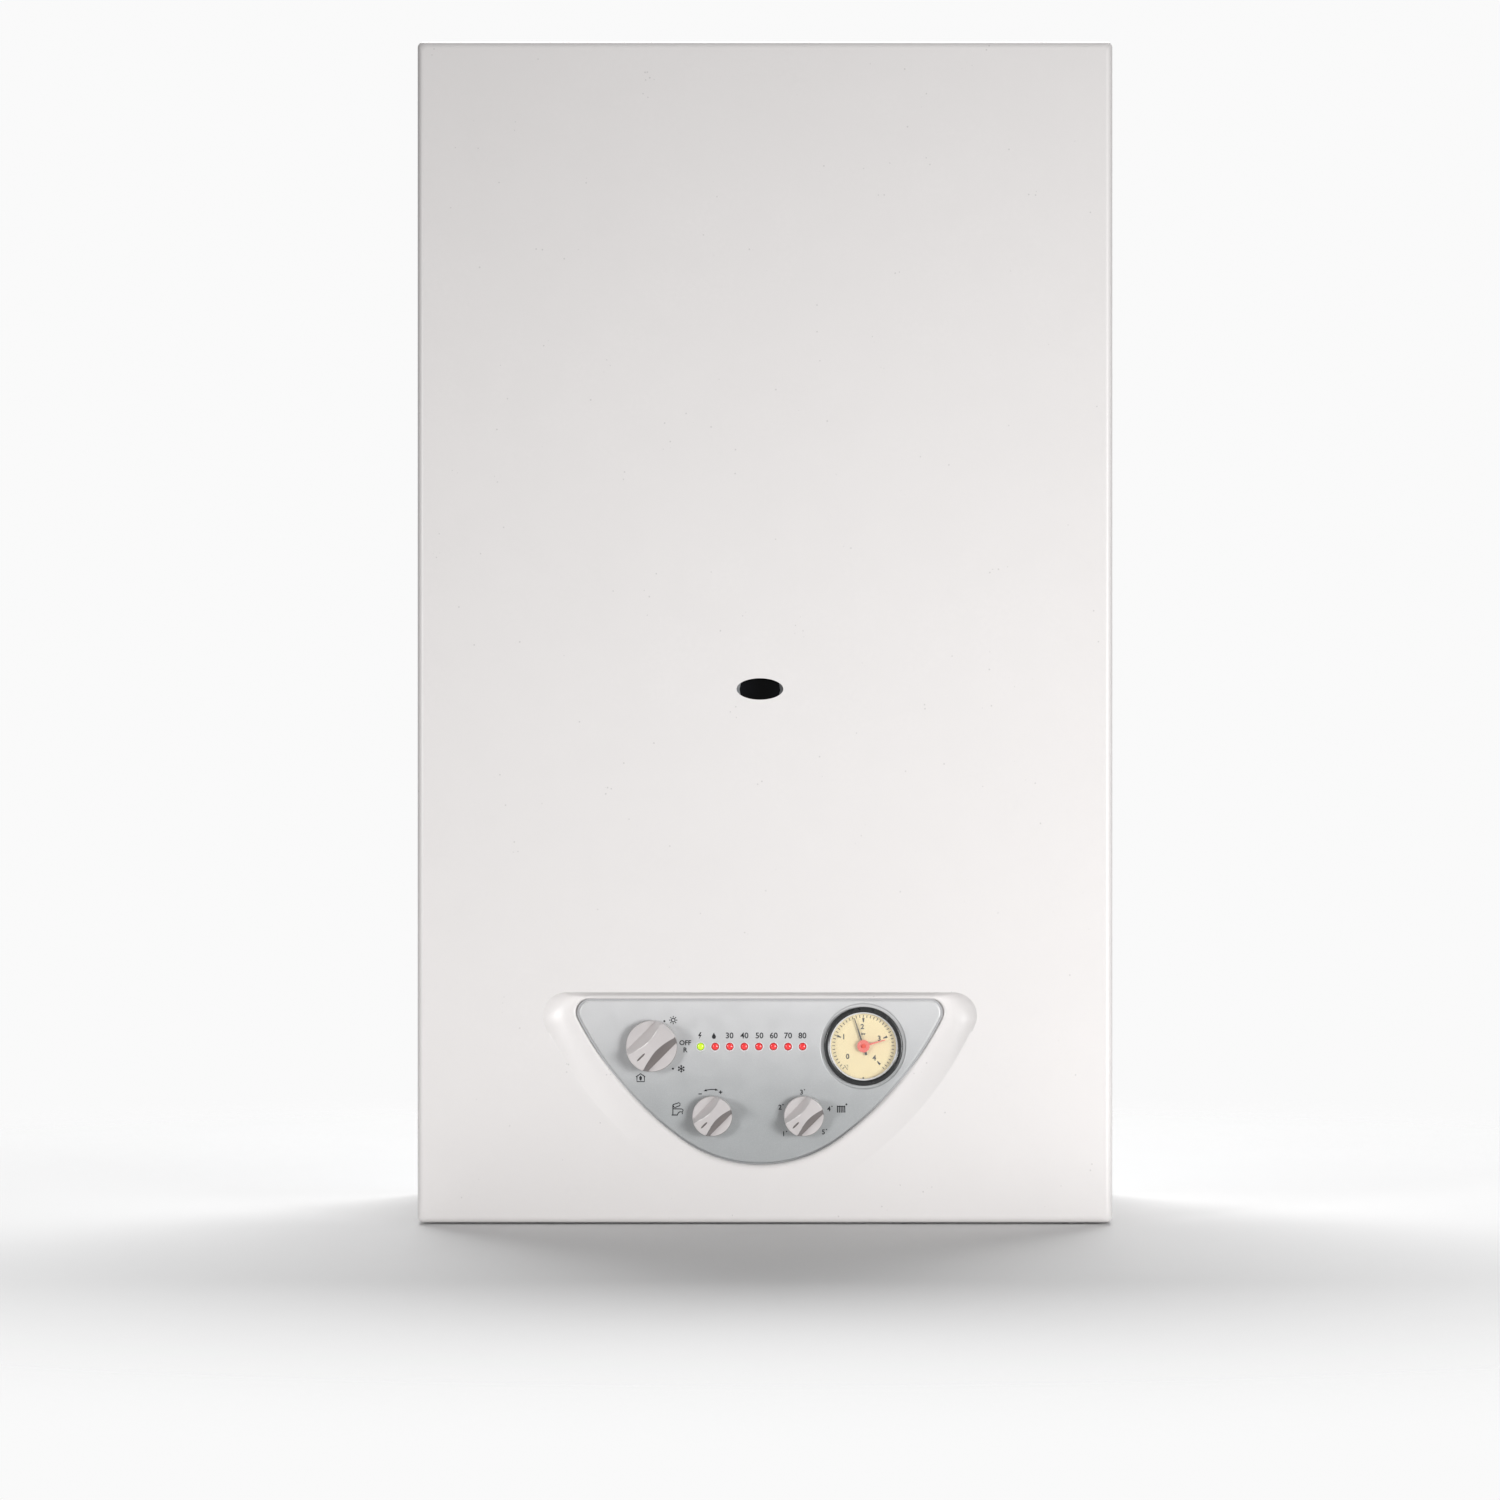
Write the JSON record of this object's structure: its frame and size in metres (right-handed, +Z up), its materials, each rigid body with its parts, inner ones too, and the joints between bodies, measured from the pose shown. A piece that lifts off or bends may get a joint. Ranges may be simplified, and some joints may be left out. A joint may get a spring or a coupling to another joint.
{
  "type": "combi boiler",
  "caption": "Wall-hung fan-flued combi boiler: white lift-off front cover round a half-moon control fascia with rotary knobs, indicator lamps and a pressure gauge.",
  "frame": {"origin": "on the wall face, at the centre of the line of the two hanging slots, 60 mm below the casing top", "axes": "+Z up, +Y into the wall, the front faces -Y, +X to the right as seen from the front"},
  "size_m": [0.44, 0.25, 0.754],
  "materials": {
    "white_paint": "satin",
    "zinc_sheet": "satin",
    "aluminised_sheet": "satin",
    "cast_aluminium": "matte",
    "silver_plastic": "satin",
    "knob_plastic": "satin",
    "dark_plastic": "matte",
    "bezel_plastic": "gloss",
    "dial_paint": "matte",
    "needle_paint": "matte",
    "marker_plastic": "satin",
    "lamp_plastic": "gloss",
    "clear_lens": "clear",
    "ceramic_fibre": "matte",
    "electrode_ceramic": "gloss",
    "steel": "satin",
    "copper": "satin",
    "brass": "satin",
    "vessel_paint": "gloss",
    "seal_rubber": "matte",
    "board": "matte",
    "valve_knob": "matte",
    "tap_knob": "matte"
  },
  "bodies": {
    "chassis": {"side_panel_left": "white_paint", "side_panel_right": "white_paint", "top_panel": "white_paint", "back_frame": "zinc_sheet", "bottom_plate": "zinc_sheet", "chamber_box": "zinc_sheet", "chamber_lid": "zinc_sheet", "combustion_chamber": "aluminised_sheet", "gas_manifold": "aluminised_sheet", "flue_hood": "aluminised_sheet", "fan_housing": "aluminised_sheet", "flue_collar": "cast_aluminium", "pump_motor": "cast_aluminium", "gas_valve": "cast_aluminium", "fascia": "silver_plastic", "control_box": "dark_plastic", "fan_motor": "dark_plastic", "air_pressure_switch": "dark_plastic", "diverter_motor": "dark_plastic", "gauge_case": "bezel_plastic", "gauge_dial": "dial_paint", "indicator_lights": "lamp_plastic", "gauge_lens": "clear_lens", "sight_glass": "clear_lens", "combustion_lining": "ceramic_fibre", "spark_electrode": "electrode_ceramic", "flame_probe": "electrode_ceramic", "burner": "steel", "plate_exchanger": "steel", "heat_exchanger": "copper", "flow_pipe": "copper", "return_pipe": "copper", "burner_gas_pipe": "copper", "vessel_pipe": "copper", "diverter_body": "brass", "pump_body": "brass", "air_vent": "brass", "safety_valve": "brass", "heating_flow_tail": "brass", "hot_water_tail": "brass", "gas_tail": "brass", "cold_water_tail": "brass", "heating_return_tail": "brass", "expansion_vessel": "vessel_paint", "chamber_gasket": "seal_rubber", "control_board": "board"},
    "front_cover": {"front_cover": "white_paint"},
    "selector": {"selector_knob": "knob_plastic", "selector_spindle": "steel"},
    "hot_water": {"hot_water_knob": "knob_plastic", "hot_water_spindle": "steel"},
    "heating": {"heating_knob": "knob_plastic", "heating_spindle": "steel"},
    "needle": {"gauge_needle": "needle_paint"},
    "marker": {"gauge_marker": "marker_plastic"},
    "fan_rotor": {"fan_impeller": "steel"},
    "pump_rotor": {"pump_impeller": "dark_plastic"},
    "diverter": {"diverter_spindle": "steel"},
    "filling_tap": {"filling_knob": "tap_knob"},
    "safety_cap": {"safety_knob": "valve_knob"}
  },
  "joints": [
    {"name": "cover_pull", "type": "slide", "parent": "chassis", "child": "front_cover", "axis": [0, -1, 0], "range_m": [0, 0.3]},
    {"name": "selector_turn", "type": "hinge", "parent": "chassis", "child": "selector", "pos_m": [-0.0717, -0.236, -0.576], "axis": [0, 1, 0], "range_deg": [-180, 0]},
    {"name": "hot_water_turn", "type": "hinge", "parent": "chassis", "child": "hot_water", "pos_m": [-0.0333, -0.236, -0.6203], "axis": [0, 1, 0], "range_deg": [0, 270]},
    {"name": "heating_turn", "type": "hinge", "parent": "chassis", "child": "heating", "pos_m": [0.0246, -0.236, -0.6203], "axis": [0, 1, 0], "range_deg": [0, 270]},
    {"name": "needle_turn", "type": "hinge", "parent": "chassis", "child": "needle", "pos_m": [0.0624, -0.235, -0.5764], "axis": [0, 1, 0], "range_deg": [-120, 156]},
    {"name": "marker_turn", "type": "hinge", "parent": "chassis", "child": "marker", "pos_m": [0.0624, -0.235, -0.5764], "axis": [0, 1, 0], "range_deg": [-212, 64]},
    {"name": "fan_spin", "type": "hinge", "parent": "chassis", "child": "fan_rotor", "pos_m": [-0.045, -0.137, -0.056], "axis": [0, 1, 0], "continuous": true},
    {"name": "pump_spin", "type": "hinge", "parent": "chassis", "child": "pump_rotor", "pos_m": [0.13, -0.075, -0.538], "axis": [0, 1, 0], "continuous": true},
    {"name": "diverter_travel", "type": "slide", "parent": "chassis", "child": "diverter", "axis": [0, 1, 0], "range_m": [0, 0.006]},
    {"name": "filling_turn", "type": "hinge", "parent": "chassis", "child": "filling_tap", "pos_m": [0.0975, -0.075, -0.648], "axis": [0, 0, 1], "range_deg": [0, 360]},
    {"name": "safety_turn", "type": "hinge", "parent": "chassis", "child": "safety_cap", "pos_m": [0.13, -0.11, -0.606], "axis": [0, 1, 0], "range_deg": [0, 90]}
  ]
}
